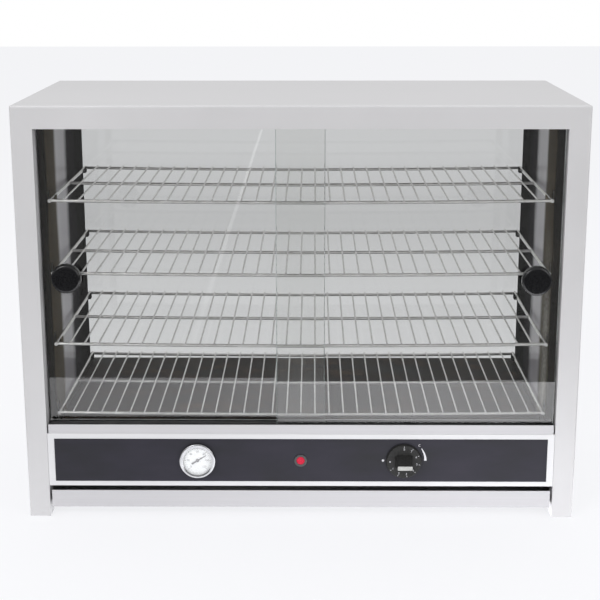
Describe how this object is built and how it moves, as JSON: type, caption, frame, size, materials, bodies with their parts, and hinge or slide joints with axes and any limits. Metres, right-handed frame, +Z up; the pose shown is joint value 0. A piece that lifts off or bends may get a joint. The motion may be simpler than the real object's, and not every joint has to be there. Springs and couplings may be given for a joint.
{
  "type": "pie warmer",
  "caption": "Countertop food warming cabinet in stainless steel with sliding glass doors, fixed rear glass, lift-off wire racks, a dial thermometer and a thermostat knob.",
  "frame": {"origin": "on the counter, under the middle of the whole object's box", "axes": "+X to the right as seen from the front, +Y to the rear, +Z up"},
  "size_m": [0.684, 0.3704, 0.5134],
  "materials": {
    "stainless": "satin",
    "polished_stainless": "polished",
    "clear_glass": "clear",
    "black_track": "matte",
    "black_knob": "gloss",
    "zinc_steel": "satin",
    "rubber": "matte",
    "dark_steel": "matte",
    "element_sheath": "satin",
    "ceramic": "matte",
    "rack_wire": "polished",
    "black_overlay": "satin",
    "chrome_trim": "polished",
    "dial_white": "matte",
    "pointer_grey": "satin",
    "copper": "satin",
    "lamp_black": "satin",
    "lamp_red": "gloss",
    "thermostat_case": "matte",
    "brass": "satin",
    "active_insulation": "matte",
    "neutral_insulation": "matte"
  },
  "bodies": {
    "cabinet": {"outer_case": "stainless", "base_pan": "stainless", "rear_panel": "stainless", "door_sill": "stainless", "control_fascia": "stainless", "base_pan_screws": "stainless", "rear_panel_screws": "stainless", "fascia_screws": "stainless", "rear_glass_channel_left": "stainless", "rear_glass_channel_right": "stainless", "rear_glass_channel_top": "stainless", "rear_glass_channel_bottom": "stainless", "gland_locknut": "stainless", "left_liner": "polished_stainless", "right_liner": "polished_stainless", "roof_liner": "polished_stainless", "floor_pan": "polished_stainless", "rear_glass": "clear_glass", "thermometer_lens": "clear_glass", "bottom_track": "black_track", "top_track": "black_track", "thermostat_screws": "zinc_steel", "pilot_lamp_nut": "zinc_steel", "thermometer_clamp": "zinc_steel", "thermometer_case": "zinc_steel", "element_clips": "zinc_steel", "heat_deflector": "dark_steel", "heating_element": "element_sheath", "element_bushings": "ceramic", "fascia_overlay": "black_overlay", "thermometer_bezel": "chrome_trim", "thermometer_dial": "dial_white", "thermometer_capillary": "copper", "thermostat_capillary": "copper", "pilot_lamp_body": "lamp_black", "cable_gland": "lamp_black", "pilot_lamp_lens": "lamp_red", "thermostat_body": "thermostat_case", "terminal_block": "thermostat_case", "earth_stud": "brass", "active_wire": "active_insulation", "switched_wire": "active_insulation", "neutral_wire": "neutral_insulation", "pilot_wires": "neutral_insulation"},
    "left_door": {"left_door_glass": "clear_glass", "left_door_knob": "black_knob", "left_knob_screw": "zinc_steel", "left_knob_washers": "rubber"},
    "right_door": {"right_door_glass": "clear_glass", "right_door_knob": "black_knob", "right_knob_screw": "zinc_steel", "right_knob_washers": "rubber"},
    "thermostat_control": {"thermostat_knob": "black_knob", "knob_insert": "chrome_trim", "thermostat_spindle": "zinc_steel"},
    "thermometer_needle": {"thermometer_pointer": "pointer_grey"},
    "bottom_shelf": {"bottom_rack": "rack_wire"},
    "lower_shelf": {"lower_rack": "rack_wire"},
    "middle_shelf": {"middle_rack": "rack_wire"},
    "top_shelf": {"top_rack": "rack_wire"}
  },
  "joints": [
    {"name": "left_door_slide", "type": "slide", "parent": "cabinet", "child": "left_door", "axis": [1, 0, 0], "range_m": [0, 0.235]},
    {"name": "right_door_slide", "type": "slide", "parent": "cabinet", "child": "right_door", "axis": [1, 0, 0], "range_m": [-0.235, 0]},
    {"name": "thermostat_turn", "type": "hinge", "parent": "cabinet", "child": "thermostat_control", "pos_m": [0.128, -0.16725, 0.07495], "axis": [0, 1, 0], "range_deg": [0, 270]},
    {"name": "thermometer_needle_turn", "type": "hinge", "parent": "cabinet", "child": "thermometer_needle", "pos_m": [-0.128, -0.15925, 0.07495], "axis": [0, 1, 0], "range_deg": [-193, 77], "stiffness_Nm_per_rad": 0.0002},
    {"name": "bottom_shelf_lift", "type": "slide", "parent": "cabinet", "child": "bottom_shelf", "axis": [0, 0, -1], "range_m": [-0.01, 0]},
    {"name": "lower_shelf_lift", "type": "slide", "parent": "cabinet", "child": "lower_shelf", "axis": [0, 0, -1], "range_m": [-0.01, 0]},
    {"name": "middle_shelf_lift", "type": "slide", "parent": "cabinet", "child": "middle_shelf", "axis": [0, 0, -1], "range_m": [-0.01, 0]},
    {"name": "top_shelf_lift", "type": "slide", "parent": "cabinet", "child": "top_shelf", "axis": [0, 0, -1], "range_m": [-0.01, 0]}
  ]
}
